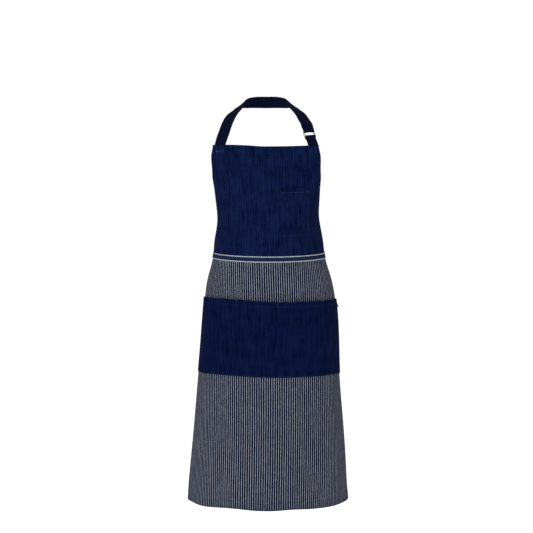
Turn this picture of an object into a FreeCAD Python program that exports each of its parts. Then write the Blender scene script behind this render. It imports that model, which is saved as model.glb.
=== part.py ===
import FreeCAD, Part
import math
import os

# Butcher apron: navy bib and pockets, striped skirt, neck strap with two D-rings, waist ties in a bow.
# Millimetres. +X is the wearer's left, -Y is the front, +Z is up.
# The origin is the centre of the neck opening, level with the strap at the nape.

V = FreeCAD.Vector

# ---------------------------------------------------------------- driving dimensions
BIB_TOP_Z = -98.2
BIB_TOP_SAG = 3.4
BIB_TOP_HALF = 140.5
WAIST_SEAM_Z = -371.0
HEM_Z = -969.0
CLOTH_HALF = 330.0
BIB_CURVE_POWER = 4.5
BIB_CORNER_DRAW = 8.5
BIB_SIDE_SWELL = 2.5
WAIST_RISE = 7.0

CLOTH = 0.7
WEBBING = 1.2
LAYER = 0.85
POCKET_STANDOFF = 1.8

TAPE_TOP_Z = -363.2
TAPE_BOTTOM_Z = -377.0
TAPE_EDGE = 1.9
TAPE_STANDOFF = 1.05

CHEST_POCKET = {"left": 29.5, "right": 109.5, "top": -202.0, "bottom": -318.0, "hem": 14.0}
KANGAROO = {"half": 236.0, "top": -472.0, "bottom": -652.5, "hem": 16.0, "gape": 10.0}

TOP_HEM = 20.0
SIDE_HEM = 12.0
BOTTOM_HEM = 20.0

STRAP_WIDTH = 27.4
STRAP_SHIFT = -1.2
STRAP_BEHIND_BIB = 3.0
STRAP_SEWN_Z = -117.5
RING_STRAP_WIDTH = 25.6
RING_GRIP = 24.9

RING_WIRE = 0.75
RING_HALF = 13.9
RING_ARM = 8.5
RING_CORNER = 1.8
RING_SPACING = 5.2
RING_BAR = V(104.5, -65.9, -76.7)
RING_UP = V(-0.305, 0.364, 0.893)
RING_OUT = V(0.45, -0.80, 0.40)
LOOP_RADIUS = 2.15
LEG_HALF = 0.85
FOLD_HALF = 3.3
FOLD_LOW = 12.9
FOLD_ARCH = 2.0
TAIL_LENGTH = 85.0

TIE_WIDTH = 26.0
TIE_THICK = 1.0
TIE_START = 300.0
TIE_Z = -371.0
KNOT_SIZE = V(12.0, 8.0, 14.0)
BOW_LOOP = 74.0
BOW_TAIL = 230.0

# How the cloth hangs: height, half width, front depth, back depth, sideways sway.
BODY_STATIONS = [
    (-80.0, 174.0, 88.0, 84.0, -3.3),
    (-103.0, 170.0, 95.0, 84.0, -3.1),
    (-160.0, 158.0, 108.0, 84.0, -1.4),
    (-213.0, 144.5, 115.0, 80.0, 0.9),
    (-272.0, 125.2, 111.0, 77.0, 2.9),
    (-331.0, 132.4, 106.0, 86.0, 4.2),
    (-378.0, 138.6, 106.0, 96.0, 5.2),
    (-419.0, 150.1, 106.0, 107.0, 6.2),
    (-478.0, 160.0, 107.0, 115.0, 7.6),
    (-560.0, 167.0, 110.0, 118.0, 6.7),
    (-657.0, 173.2, 114.0, 117.0, 4.6),
    (-760.0, 181.2, 124.0, 117.0, 4.8),
    (-860.0, 189.7, 133.0, 120.0, 3.7),
    (-969.0, 199.0, 143.0, 125.0, 2.2),
    (-985.0, 200.4, 144.5, 126.0, 2.1),
]
ARC_STEPS = 180


# ---------------------------------------------------------------- the hanging surface
def station_curve(picked):
    """A smooth curve through three columns of BODY_STATIONS, with depth below the first as parameter."""
    points = [V(*[row[i] for i in picked]) for row in BODY_STATIONS]
    drops = [BODY_STATIONS[0][0] - row[0] for row in BODY_STATIONS]
    curve = Part.BSplineCurve()
    curve.interpolate(Points=points, Parameters=drops)
    return curve


SIZE_CURVE = station_curve((1, 2, 3))
SWAY_CURVE = station_curve((4, 4, 4))
ARC_TABLES = {}


def section(z):
    drop = BODY_STATIONS[0][0] - z
    size = SIZE_CURVE.value(drop)
    return size.x, size.y, size.z, SWAY_CURVE.value(drop).x


def arc_table(z):
    """Arc lengths from the centre front to the centre back, one per angle step."""
    key = round(z, 3)
    if key not in ARC_TABLES:
        half, front, back, sway = section(z)
        lengths = [0.0]
        for i in range(ARC_STEPS):
            angle = (i + 0.5) * math.pi / ARC_STEPS
            depth = front if angle < math.pi / 2 else back
            step = math.hypot(half * math.cos(angle), depth * math.sin(angle))
            lengths.append(lengths[-1] + step * math.pi / ARC_STEPS)
        ARC_TABLES[key] = lengths
    return ARC_TABLES[key]


def angle_at(u, z):
    lengths = arc_table(z)
    low = 0
    high = ARC_STEPS
    while high - low > 1:
        middle = (low + high) // 2
        if lengths[middle] <= u:
            low = middle
        else:
            high = middle
    share = (u - lengths[low]) / (lengths[high] - lengths[low])
    return (low + share) * math.pi / ARC_STEPS


def hump(x, centre, reach):
    """One at the centre, falling smoothly to nothing at a distance of reach on either side."""
    return math.cos(min(1.0, abs(x - centre) / reach) * math.pi / 2) ** 2


def settle(u, z):
    """How far the cloth has ridden up at this place, against hanging level all round."""
    waist = WAIST_RISE * (1 - math.cos(min(1.0, abs(u) / CLOTH_HALF) * math.pi)) / 2 * hump(z, WAIST_SEAM_Z, 100.0)
    hip = 6.2 * hump(u, -125.0, 170.0) * ease((-385.0 - z) / 80.0)
    hip *= (1 - 0.45 * ease((-500.0 - z) / 150.0)) * (1 - ease((-680.0 - z) / 120.0))
    hip -= 3.0 * ease((u - 165.0) / 60.0) * ease((-410.0 - z) / 55.0) * (1 - ease((-660.0 - z) / 110.0))
    low = 3.3 * hump(u, -95.0, 75.0) + 2.4 * hump(u, 60.0, 55.0) + 2.4 * ease((abs(u) - 175.0) / 45.0)
    low *= ease((-850.0 - z) / 110.0)
    top = 2.6 * hump(u, -72.0, 80.0) * ease((z + 200.0) / 80.0)
    return waist + hip + low + top


def on_body(u, z, offset=0.0):
    """The point at arc length u from the centre front and height z, with its outward normal."""
    side = 1.0 if u >= 0 else -1.0
    angle = angle_at(abs(u), z)
    z = z + settle(u, z)
    half, front, back, sway = section(z)
    above = section(z + 0.5)
    below = section(z - 0.5)
    forward = angle < math.pi / 2
    depth = front if forward else back
    depth_slope = above[1] - below[1] if forward else above[2] - below[2]
    along = V(side * half * math.cos(angle), depth * math.sin(angle), 0)
    up = V(
        above[3] - below[3] + side * (above[0] - below[0]) * math.sin(angle),
        -depth_slope * math.cos(angle),
        1.0,
    )
    normal = along.cross(up) * side
    normal.normalize()
    point = V(sway + side * half * math.sin(angle), -depth * math.cos(angle), z)
    return point + normal * offset, normal


def half_girth(z):
    return arc_table(z)[-1]


# ---------------------------------------------------------------- thin closed solids
def even_curve(points):
    """A cubic through points at even marks from 0 to 1."""
    curve = Part.BSplineCurve()
    curve.interpolate(Points=points, Parameters=[i / (len(points) - 1.0) for i in range(len(points))])
    return curve


def skin(grid):
    """A smooth surface through a grid of points: curves along its rows, then curves across their poles."""
    rows = [even_curve(points) for points in grid]
    across = [even_curve(list(poles)) for poles in zip(*[row.getPoles() for row in rows])]
    poles = [list(line) for line in zip(*[curve.getPoles() for curve in across])]
    surface = Part.BSplineSurface()
    surface.buildFromPolesMultsKnots(
        poles, across[0].getMultiplicities(), rows[0].getMultiplicities(),
        across[0].getKnots(), rows[0].getKnots(), False, False, across[0].Degree, rows[0].Degree,
    )
    return surface


def rim(outer, inner):
    """The four narrow faces that join two skins along their edges."""
    faces = []
    a = outer.bounds()
    b = inner.bounds()
    for i in (0, 1):
        faces.append(Part.makeRuledSurface(outer.uIso(a[i]).toShape(), inner.uIso(b[i]).toShape(), 1))
        faces.append(Part.makeRuledSurface(outer.vIso(a[i + 2]).toShape(), inner.vIso(b[i + 2]).toShape(), 1))
    return faces


def thick_sheet(frame_at, columns, rows, thickness):
    """A closed solid of even thickness about the surface frame_at(s, t) -> point, normal."""
    outer = []
    inner = []
    for i in range(columns):
        outer.append([])
        inner.append([])
        for j in range(rows):
            point, normal = frame_at(i / (columns - 1.0), j / (rows - 1.0))
            outer[-1].append(point + normal * (thickness / 2))
            inner[-1].append(point - normal * (thickness / 2))
    top = skin(outer)
    under = skin(inner)
    sewn = Part.makeCompound([top.toShape(), under.toShape()] + rim(top, under))
    sewn.sewShape()
    solid = Part.makeSolid(sewn.Shells[0])
    if solid.Volume < 0:
        solid.reverse()
    return solid


def mix(a, b, share):
    return a + (b - a) * share


def ease(x):
    x = min(1.0, max(0.0, x))
    return x * x * (3 - 2 * x)


def patch(u_range, z_range, offset, thickness, columns=5, rows=5):
    """A sheet between two arc lengths and two heights, at an offset from the hanging surface."""

    def frame_at(s, t):
        return on_body(mix(u_range[0], u_range[1], s), mix(z_range[0], z_range[1], t), offset)

    return thick_sheet(frame_at, columns, rows, thickness)


# ---------------------------------------------------------------- bib
def bib_half(z):
    """Half the bib's width along the cloth: drawn in at its top corners, then sweeping out to the waist."""
    share = (BIB_TOP_Z - z) / (BIB_TOP_Z - WAIST_SEAM_Z)
    corner = BIB_CORNER_DRAW * math.exp(-(((BIB_TOP_Z - z) / 20.0) ** 2))
    swell = BIB_SIDE_SWELL * math.exp(-(((BIB_TOP_Z - z - 80.0) / 18.0) ** 2))
    return BIB_TOP_HALF + (CLOTH_HALF - BIB_TOP_HALF) * max(0.0, share) ** BIB_CURVE_POWER - corner + swell


def bib_top(share):
    """Height of the bib's top edge, where share runs from -1 to 1 across it."""
    return BIB_TOP_Z - BIB_TOP_SAG * (1 - share * share)


def bib_panel():
    def frame_at(s, t):
        across = 2 * s - 1
        z = mix(BIB_TOP_Z, WAIST_SEAM_Z + 0.4, t)
        lowered = z - BIB_TOP_SAG * (1 - across * across) * (1 - t)
        return on_body(across * bib_half(z), lowered)

    return thick_sheet(frame_at, 41, 25, CLOTH)


def bib_top_hem():
    def frame_at(s, t):
        across = 2 * s - 1
        z = bib_top(across) - TOP_HEM * t
        return on_body(across * bib_half(BIB_TOP_Z - TOP_HEM * t), z, -LAYER)

    return thick_sheet(frame_at, 25, 5, CLOTH)


def bib_edge_hem(side):
    def frame_at(s, t):
        z = mix(BIB_TOP_Z - TOP_HEM - 0.5, WAIST_SEAM_Z + 9.0, t)
        inset = mix(SIDE_HEM, 0.4, s)
        return on_body(side * (bib_half(z) - inset), z, -LAYER)

    return thick_sheet(frame_at, 4, 25, CLOTH)


def chest_pocket():
    p = CHEST_POCKET
    return patch((p["left"], p["right"]), (p["top"], p["bottom"]), POCKET_STANDOFF, CLOTH, 9, 12)


def chest_pocket_hem():
    p = CHEST_POCKET
    sides = (p["left"] + 0.5, p["right"] - 0.5)
    return patch(sides, (p["top"] - 0.3, p["top"] - p["hem"]), POCKET_STANDOFF - LAYER, 0.6, 9, 4)


def bartack(u, z, length, height, standoff):
    sides = (u - length / 2, u + length / 2)
    return patch(sides, (z + height / 2, z - height / 2), standoff, 0.4, 4, 4)


# ---------------------------------------------------------------- waist tape
def tape_strip(top, bottom):
    return patch((-CLOTH_HALF, CLOTH_HALF), (top, bottom), TAPE_STANDOFF, CLOTH, 45, 4)


# ---------------------------------------------------------------- skirt
def skirt_panel():
    return patch((-CLOTH_HALF, CLOTH_HALF), (WAIST_SEAM_Z - 0.4, HEM_Z), 0.0, CLOTH, 45, 41)


def skirt_bottom_hem():
    sides = (-CLOTH_HALF, CLOTH_HALF)
    return patch(sides, (HEM_Z + BOTTOM_HEM, HEM_Z), -LAYER, CLOTH, 45, 4)


def skirt_side_hem(side):
    sides = (side * (CLOTH_HALF - SIDE_HEM), side * CLOTH_HALF)
    return patch(sides, (WAIST_SEAM_Z - 0.6, HEM_Z + BOTTOM_HEM + 0.5), -LAYER, CLOTH, 4, 41)


# ---------------------------------------------------------------- kangaroo pocket
def pocket_standoff(u, z, layer=0.0):
    """The pocket lies flat along its seams and gapes at the mouth."""
    rise = (z - KANGAROO["bottom"]) / (KANGAROO["top"] - KANGAROO["bottom"])
    open_up = math.sin(min(1.0, max(0.0, rise)) * math.pi / 2) ** 0.8
    across = math.cos(min(1.0, abs(u) / KANGAROO["half"]) * math.pi / 2)
    return POCKET_STANDOFF + KANGAROO["gape"] * open_up * across - layer


def kangaroo_pocket():
    def frame_at(s, t):
        u = mix(-KANGAROO["half"], KANGAROO["half"], s)
        z = mix(KANGAROO["top"], KANGAROO["bottom"], t)
        return on_body(u, z, pocket_standoff(u, z))

    return thick_sheet(frame_at, 45, 19, CLOTH)


def kangaroo_pocket_hem():
    def frame_at(s, t):
        u = mix(-KANGAROO["half"] + 1, KANGAROO["half"] - 1, s)
        z = mix(KANGAROO["top"] - 0.3, KANGAROO["top"] - KANGAROO["hem"], t)
        return on_body(u, z, pocket_standoff(u, z, LAYER))

    return thick_sheet(frame_at, 45, 5, 0.6)


def side_tab():
    """A blank folded tab that stands out from the skirt beside the pocket's mouth."""

    def frame_at(s, t):
        z = mix(-476.5, -494.5, t)
        base, normal = on_body(240.0, z)
        ahead, unused = on_body(241.0, z)
        sideways = ahead - base
        sideways.normalize()
        return base + normal * mix(0.8, 10.0, s) * mix(0.8, 1.15, t), sideways

    return thick_sheet(frame_at, 5, 5, 1.6)


# ---------------------------------------------------------------- straps
def unit(v):
    out = V(v)
    out.normalize()
    return out


def square_to(v, axis):
    """v turned square to axis, as a unit vector."""
    return unit(v - axis * v.dot(axis))


RING_T = unit(RING_UP)
RING_N = square_to(RING_OUT, RING_T)
RING_W = RING_T.cross(RING_N)


def chest_point(x, z, offset):
    """A point on the chest at a given x, with the surface's normal."""
    low = 0.0
    high = 250.0
    for step in range(40):
        middle = (low + high) / 2
        if abs(on_body(math.copysign(middle, x), z)[0].x) < abs(x):
            low = middle
        else:
            high = middle
    return on_body(math.copysign(low, x), z, offset)


def nape_stations(side):
    """Centre line and normals over one side of the neck, from the nape forwards."""
    rows = [
        ((0.0, 61.0, 7.0), (0.0, 0.98, 0.18)),
        ((24.0, 57.0, 7.0), (0.28, 0.93, 0.25)),
        ((46.0, 42.0, 5.0), (0.55, 0.66, 0.50)),
        ((62.6, 14.0, 0.0), (0.50, 0.22, 0.84)),
        ((67.5, -6.0, -9.0), (0.34, -0.12, 0.92)),
        ((81.6, -28.0, -24.0), (0.28, -0.42, 0.86)),
        ((90.8, -43.5, -39.0), (0.24, -0.62, 0.75)),
    ]
    stations = []
    for point, normal in rows:
        centre = V(side * point[0] + STRAP_SHIFT, point[1], point[2])
        stations.append((centre, V(side * normal[0], normal[1], normal[2])))
    return stations


def left_stations():
    rows = nape_stations(-1)
    for point, normal in [
        ((-97.9, -55.5, -53.5), (-0.26, -0.74, 0.62)),
        ((-103.0, -64.0, -69.0), (-0.28, -0.86, 0.42)),
        ((-108.6, -70.3, -85.0), (-0.34, -0.90, 0.26)),
    ]:
        rows.append((V(*point), V(*normal)))
    for x, z in ((-113.4, -98.0), (-115.4, -108.0), (-116.2, STRAP_SEWN_Z)):
        rows.append(chest_point(x, z, -STRAP_BEHIND_BIB))
    return rows


def ring_line(t):
    return RING_BAR + RING_T * t


def right_stations():
    rows = nape_stations(1)
    for t in (32.0, 26.0, 20.0, 14.0, 8.0, 2.0, -4.0):
        rows.append((ring_line(t), RING_N))
    for x, z in ((112.2, -99.0), (114.0, -108.0), (115.0, STRAP_SEWN_Z)):
        rows.append(chest_point(x, z, RING_SPACING / 2 - LEG_HALF - STRAP_BEHIND_BIB))
    return rows


def blend_normal(stations, marks, mark):
    index = 0
    while index < len(marks) - 2 and marks[index + 1] < mark:
        index += 1
    share = (mark - marks[index]) / (marks[index + 1] - marks[index])
    return mix(unit(stations[index][1]), unit(stations[index + 1][1]), share)


def smooth(stations, step):
    """Even samples of (length, centre, normal, width direction, tangent) along smooth stations."""
    marks = [0.0]
    for a, b in zip(stations, stations[1:]):
        marks.append(marks[-1] + (b[0] - a[0]).Length)
    path = Part.BSplineCurve()
    path.interpolate(Points=[row[0] for row in stations], Parameters=marks)
    total = path.length()
    count = max(6, int(round(total / step)))
    samples = []
    for i in range(count + 1):
        length = total * i / count
        mark = path.parameterAtDistance(length, path.FirstParameter)
        tangent = unit(path.tangent(mark)[0])
        normal = square_to(blend_normal(stations, marks, mark), tangent)
        samples.append((length, path.value(mark), normal, tangent.cross(normal), tangent))
    return samples


def sample_at(samples, length):
    """The frame at any length, by a straight blend of the even samples; it runs on straight past the ends."""
    step = samples[1][0] - samples[0][0]
    place = length / step
    index = min(len(samples) - 2, max(0, int(math.floor(place))))
    share = place - index
    a = samples[index]
    b = samples[index + 1]
    tangent = unit(mix(a[4], b[4], share))
    normal = square_to(mix(a[2], b[2], share), tangent)
    return mix(a[1], b[1], share), normal, tangent.cross(normal), tangent


def band(track, thickness, across=5):
    """A strap along track, a list of (centre, normal, width direction, arch, width)."""

    def frame_at(s, t):
        centre, normal, side, arch, width = track[int(round(t * (len(track) - 1)))]
        w = (2 * s - 1) * width / 2
        lift = arch * (1 - (2 * s - 1) ** 2)
        return centre + side * w + lift, normal

    return thick_sheet(frame_at, across, len(track), thickness)


def respace(track, step):
    """The same track in even steps, with its normals square to the new centre line."""
    lengths = [0.0]
    for a, b in zip(track, track[1:]):
        lengths.append(lengths[-1] + (b[0] - a[0]).Length)
    count = int(round(lengths[-1] / step))
    even = []
    index = 0
    for i in range(count + 1):
        length = lengths[-1] * i / count
        while index < len(track) - 2 and lengths[index + 1] < length:
            index += 1
        share = (length - lengths[index]) / (lengths[index + 1] - lengths[index])
        a = track[index]
        b = track[index + 1]
        even.append(tuple(mix(a[k], b[k], share) for k in range(5)))
    return [(row[0], unit(row[1]), unit(row[2]), row[3], row[4]) for row in even]


# One line from the bib's left corner, round the nape and down to the bib's right corner.
STRAP_LINE = smooth(list(reversed(left_stations())) + right_stations()[1:], 2.0)
LINE_LENGTH = STRAP_LINE[-1][0]
# Length along that line at which it passes the D-ring bars.
BAR_LENGTH = min(STRAP_LINE, key=lambda row: (row[1] - RING_BAR).Length)[0]


def line_frame(t):
    """The line's frame at t mm above the bars; straight through the rings."""
    if -3.0 <= t <= 30.0:
        return ring_line(t), RING_N, RING_W
    centre, normal, side, tangent = sample_at(STRAP_LINE, BAR_LENGTH - t)
    return centre, normal, side * -1.0


def leg_offset(t):
    return mix(FOLD_HALF, 1.0, ease((t - 25.0) / 22.0))


def neck_width(t):
    """The long strap is drawn in where it passes through the front ring."""
    return mix(RING_GRIP, STRAP_WIDTH, ease((t - FOLD_LOW) / 20.0))


def neck_strap_track():
    """From the bib's left corner over the neck, down through the front ring and back up behind."""
    none = V(0, 0, 0)
    track = []
    t = BAR_LENGTH
    while t > FOLD_LOW:
        centre, normal, side = line_frame(t)
        lift = leg_offset(t) * ease((FOLD_LOW + TAIL_LENGTH + 45.0 - t) / 40.0)
        track.append((centre + normal * lift, normal, side * -1.0, none, neck_width(t)))
        t -= 1.0
    for i in range(0, 13):
        angle = math.pi * i / 12.0
        outward = RING_N * math.cos(angle) - RING_T * math.sin(angle)
        centre = ring_line(FOLD_LOW) + outward * FOLD_HALF
        arch = RING_T * (FOLD_ARCH * math.sin(angle) ** 2)
        track.append((centre, outward, RING_W * -1.0, arch, RING_GRIP))
    t = FOLD_LOW + 1.0
    while t < FOLD_LOW + TAIL_LENGTH:
        centre, normal, side = line_frame(t)
        track.append((centre - normal * leg_offset(t), normal * -1.0, side * -1.0, none, neck_width(t)))
        t += 1.0
    return track


def neck_strap():
    return band(respace(neck_strap_track(), 1.6), WEBBING)


def ring_strap_track():
    """Up from the bib, over both bars and down again: one doubled strap."""
    none = V(0, 0, 0)
    front_leg = -RING_SPACING / 2 + LEG_HALF
    back_leg = -RING_SPACING / 2 - LEG_HALF
    reach = 10.0

    def width(t):
        return mix(RING_GRIP, RING_STRAP_WIDTH, ease(-t / 8.0))

    low = BAR_LENGTH - LINE_LENGTH
    track = []
    t = low
    while t < 0:
        centre, normal, side = line_frame(t)
        n = mix(LOOP_RADIUS, front_leg, ease(-t / reach))
        track.append((centre + normal * n, normal, side, none, width(t)))
        t += 0.8
    for bar, start in ((0.0, 0), (-RING_SPACING, 1)):
        for i in range(0, 9):
            angle = math.pi / 2 * (start + i / 8.0)
            outward = RING_N * math.cos(angle) + RING_T * math.sin(angle)
            centre = ring_line(0) + RING_N * bar + outward * LOOP_RADIUS
            track.append((centre, outward, RING_W, none, RING_GRIP))
    t = -0.8
    while t > low:
        centre, normal, side = line_frame(t)
        n = mix(-RING_SPACING - LOOP_RADIUS, back_leg, ease(-t / reach))
        track.append((centre + normal * n, normal * -1.0, side, none, width(t)))
        t -= 0.8
    return track


def ring_strap():
    return band(respace(ring_strap_track(), 0.9), WEBBING)


def stitch_box(x, z_top, z_bottom):
    """The sewn square that holds a strap's end, on the bib's face."""
    middle = math.copysign(1.0, x)
    inner = chest_u(abs(x) - 11.0, z_top) * middle
    outer = chest_u(abs(x) + 8.5, z_top) * middle
    return patch((inner, outer), (z_top, z_bottom), 0.75, 0.4, 6, 5)


def chest_u(x, z):
    low = 0.0
    high = 250.0
    for step in range(40):
        middle = (low + high) / 2
        if on_body(middle, z)[0].x < x:
            low = middle
        else:
            high = middle
    return low


# ---------------------------------------------------------------- D-rings
def ring_point(w, t, depth):
    return RING_BAR + RING_W * w + RING_T * t + RING_N * depth


def d_ring(depth):
    """A round wire bent to a D: bar below, two arms and a half circle above."""
    r = RING_HALF
    c = RING_CORNER
    k = c * (1 - math.sqrt(0.5))

    def p(w, t):
        return ring_point(w, t, depth)

    edges = [
        Part.LineSegment(p(-(r - c), 0), p(r - c, 0)).toShape(),
        Part.Arc(p(r - c, 0), p(r - k, k), p(r, c)).toShape(),
        Part.LineSegment(p(r, c), p(r, RING_ARM)).toShape(),
        Part.Arc(p(r, RING_ARM), p(0, RING_ARM + r), p(-r, RING_ARM)).toShape(),
        Part.LineSegment(p(-r, RING_ARM), p(-r, c)).toShape(),
        Part.Arc(p(-r, c), p(-(r - k), k), p(-(r - c), 0)).toShape(),
    ]
    path = Part.Wire(edges)
    profile = Part.Wire(Part.Circle(p(-(r - c), 0), RING_W, RING_WIRE).toShape())
    solid = path.makePipeShell([profile], True, True)
    if solid.Volume < 0:
        solid.reverse()
    return solid


# ---------------------------------------------------------------- waist ties and bow
def tie_end_u():
    return half_girth(TIE_Z) - KNOT_SIZE.x - 2.0


def waist_tie(side):
    def frame_at(s, t):
        u = mix(TIE_START, tie_end_u(), t)
        z = TIE_Z + (2 * s - 1) * TIE_WIDTH / 2
        lift = mix(-2.1, 3.5, ease((u - CLOTH_HALF - 2.0) / (tie_end_u() - CLOTH_HALF - 2.0)))
        return on_body(side * u, z, lift)

    return thick_sheet(frame_at, 5, 16, TIE_THICK)


def knot_centre():
    half, front, back, sway = section(TIE_Z + WAIST_RISE)
    return V(sway, back + 11.0, TIE_Z + WAIST_RISE)


def bow_knot():
    ball = Part.makeSphere(1.0)
    grow = FreeCAD.Matrix()
    grow.scale(KNOT_SIZE)
    knot = ball.transformGeometry(grow)
    knot.translate(knot_centre())
    return knot


def bow_loop(side):
    """A flat tape turned back on itself, drooping a little from the knot."""
    drop = math.radians(24.0)
    outward = V(side * math.cos(drop), 0, -math.sin(drop))
    upward = V(side * math.sin(drop), 0, math.cos(drop))
    start = knot_centre() + V(0, 6.0, 0) + outward * (KNOT_SIZE.x + 1.2)
    track = []
    for i in range(61):
        turn = 2 * math.pi * i / 60.0
        along = BOW_LOOP * math.sin(turn / 2) ** 0.9
        depth = -7.5 * math.sin(turn) * (0.35 + 0.65 * math.sin(turn / 2)) - 1.3 * math.cos(turn / 2)
        track.append(start + outward * along + V(0, depth, 0))
    rows = []
    for i in range(61):
        before = track[max(0, i - 1)]
        after = track[min(60, i + 1)]
        tangent = unit(after - before)
        rows.append((track[i], upward.cross(tangent) * side, upward, V(0, 0, 0), TIE_WIDTH))
    return band(respace(rows, 2.5), TIE_THICK)


def bow_tail(side):
    """A tape end that hangs from the knot over the back."""
    knot = knot_centre()
    track = []
    for i in range(41):
        fall = i / 40.0
        z = knot.z - KNOT_SIZE.z - 1.5 - BOW_TAIL * fall
        half, front, back, sway = section(z)
        x = sway + side * (7.0 + 15.0 * fall) + 2.0 * math.sin(5.0 * fall + side)
        y = mix(knot.y - 3.5 + 1.5 * side, back + 5.0 + 3.0 * side, ease(fall * 2.0)) + 2.0 * math.sin(7.0 * fall)
        track.append(V(x, y, z))
    rows = []
    for i in range(41):
        tangent = unit(track[min(40, i + 1)] - track[max(0, i - 1)])
        across = square_to(V(1.0, 0.12 * side, 0), tangent)
        rows.append((track[i], across.cross(tangent) * -1.0, across, V(0, 0, 0), TIE_WIDTH))
    return band(respace(rows, 5.0), TIE_THICK)


# ---------------------------------------------------------------- all parts
def build_all():
    p = CHEST_POCKET
    k = KANGAROO
    tack = POCKET_STANDOFF + 0.8
    edge_z = (TAPE_TOP_Z - TAPE_EDGE, TAPE_BOTTOM_Z + TAPE_EDGE)
    parts = {
        "bib_panel": bib_panel(),
        "bib_top_hem": bib_top_hem(),
        "bib_edge_hem_left": bib_edge_hem(-1),
        "bib_edge_hem_right": bib_edge_hem(1),
        "chest_pocket": chest_pocket(),
        "chest_pocket_hem": chest_pocket_hem(),
        "chest_pocket_bartack_left": bartack(p["left"] + 6.2, p["top"] - 2.6, 10.0, 3.2, tack),
        "chest_pocket_bartack_right": bartack(p["right"] - 6.2, p["top"] - 2.6, 10.0, 3.2, tack),
        "waist_tape": tape_strip(edge_z[0] - 0.1, edge_z[1] + 0.1),
        "waist_tape_upper_edge": tape_strip(TAPE_TOP_Z, edge_z[0]),
        "waist_tape_lower_edge": tape_strip(edge_z[1], TAPE_BOTTOM_Z),
        "skirt_panel": skirt_panel(),
        "skirt_bottom_hem": skirt_bottom_hem(),
        "skirt_side_hem_left": skirt_side_hem(-1),
        "skirt_side_hem_right": skirt_side_hem(1),
        "kangaroo_pocket": kangaroo_pocket(),
        "kangaroo_pocket_hem": kangaroo_pocket_hem(),
        "kangaroo_bartack_left": bartack(-(k["half"] - 6.0), k["top"] - 4.0, 9.0, 3.0, tack + 1.9),
        "kangaroo_bartack_right": bartack(k["half"] - 6.0, k["top"] - 4.0, 9.0, 3.0, tack + 1.9),
        "side_tab": side_tab(),
        "neck_strap": neck_strap(),
        "ring_strap": ring_strap(),
        "strap_stitch_box_left": stitch_box(-115.4, -102.0, -115.0),
        "strap_stitch_box_right": stitch_box(114.0, -102.0, -115.0),
        "front_d_ring": d_ring(0.0),
        "back_d_ring": d_ring(-RING_SPACING),
        "waist_tie_left": waist_tie(-1),
        "waist_tie_right": waist_tie(1),
        "tie_bartack_left": bartack(-(CLOTH_HALF - 14.0), TIE_Z, 20.0, 22.0, TAPE_STANDOFF + 0.75),
        "tie_bartack_right": bartack(CLOTH_HALF - 14.0, TIE_Z, 20.0, 22.0, TAPE_STANDOFF + 0.75),
        "bow_knot": bow_knot(),
        "bow_loop_left": bow_loop(-1),
        "bow_loop_right": bow_loop(1),
        "bow_tail_left": bow_tail(-1),
        "bow_tail_right": bow_tail(1),
    }
    return parts


os.makedirs("parts", exist_ok=True)
for node, shape in build_all().items():
    shape.exportStep("parts/" + node + ".step")
    box = shape.BoundBox
    print(node, "valid", shape.isValid(), "solids", len(shape.Solids), "volume", round(shape.Volume, 1))
    print("   ", [round(v, 1) for v in (box.XMin, box.XMax, box.YMin, box.YMax, box.ZMin, box.ZMax)])
print("ring bar", RING_BAR, "out", RING_N, "up", RING_T, "width", RING_W)
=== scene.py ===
import math
from types import SimpleNamespace

import bpy
import numpy as np
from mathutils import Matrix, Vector


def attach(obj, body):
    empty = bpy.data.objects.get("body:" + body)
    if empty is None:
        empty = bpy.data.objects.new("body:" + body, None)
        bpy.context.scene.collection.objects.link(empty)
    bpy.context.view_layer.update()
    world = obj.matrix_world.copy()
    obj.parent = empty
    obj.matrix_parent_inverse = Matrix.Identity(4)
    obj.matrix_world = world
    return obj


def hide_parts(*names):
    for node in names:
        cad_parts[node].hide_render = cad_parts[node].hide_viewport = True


PI = math.pi
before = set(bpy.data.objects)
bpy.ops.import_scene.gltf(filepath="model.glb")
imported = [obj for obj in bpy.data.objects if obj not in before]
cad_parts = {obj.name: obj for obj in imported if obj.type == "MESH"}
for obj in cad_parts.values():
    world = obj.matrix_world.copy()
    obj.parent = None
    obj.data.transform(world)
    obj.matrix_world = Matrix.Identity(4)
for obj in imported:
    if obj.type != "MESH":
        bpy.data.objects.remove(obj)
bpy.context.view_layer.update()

# Everything below is in millimetres until a mesh is made, in the frame's own axes.
rng = np.random.default_rng(7)

SIDES = ((-1, "left"), (1, "right"))
BIB_TOP_Z, SEAM_Z, HEM_Z = -98.2, -371.0, -969.0
BIB_TOP_SAG, BIB_TOP_HALF, CLOTH_HALF = 3.4, 140.5, 330.0
CLOTH, TURNED_CLOTH, LAYER, STANDOFF = 0.7, 0.6, 0.85, 1.8
BIB_STITCH, EDGE_STITCH, HEM_STITCH = 17.0, 10.0, 16.5
CHEST = SimpleNamespace(left=29.5, right=109.5, top=-202.0, bottom=-318.0, hem=14.0, inset=2.2, stitch=9.5)
KANGAROO = SimpleNamespace(left=-236.0, right=236.0, top=-472.0, bottom=-652.5, hem=16.0, inset=2.4, stitch=12.0)
TAPE_TOP_Z, BAND_TOP_Z, TAPE_STITCH_Z, BAND_LOW_Z = -363.2, -365.1, -370.1, -375.1
TAPE_EDGE, TAPE_LIFT = 1.9, 1.05
TAB_TOP_Z, TAB_TALL, TAB_U = -476.5, 18.0, 240.0
TIE_Z, TIE_WIDTH, TIE_THICKNESS, TIE_START = -371.0, 26.0, 1.0, 300.0
LOOP_REACH, TAIL_FALL = 77.0, 234.0
STRAP_WIDTH, RING_STRAP_WIDTH, RING_GRIP = 27.4, 25.6, 24.9
RING_BAR = np.array([104.5, -65.9, -76.7])
RING_UP = np.array([-0.305, 0.364, 0.893])
RING_OUT = np.array([0.45, -0.80, 0.40])
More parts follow.
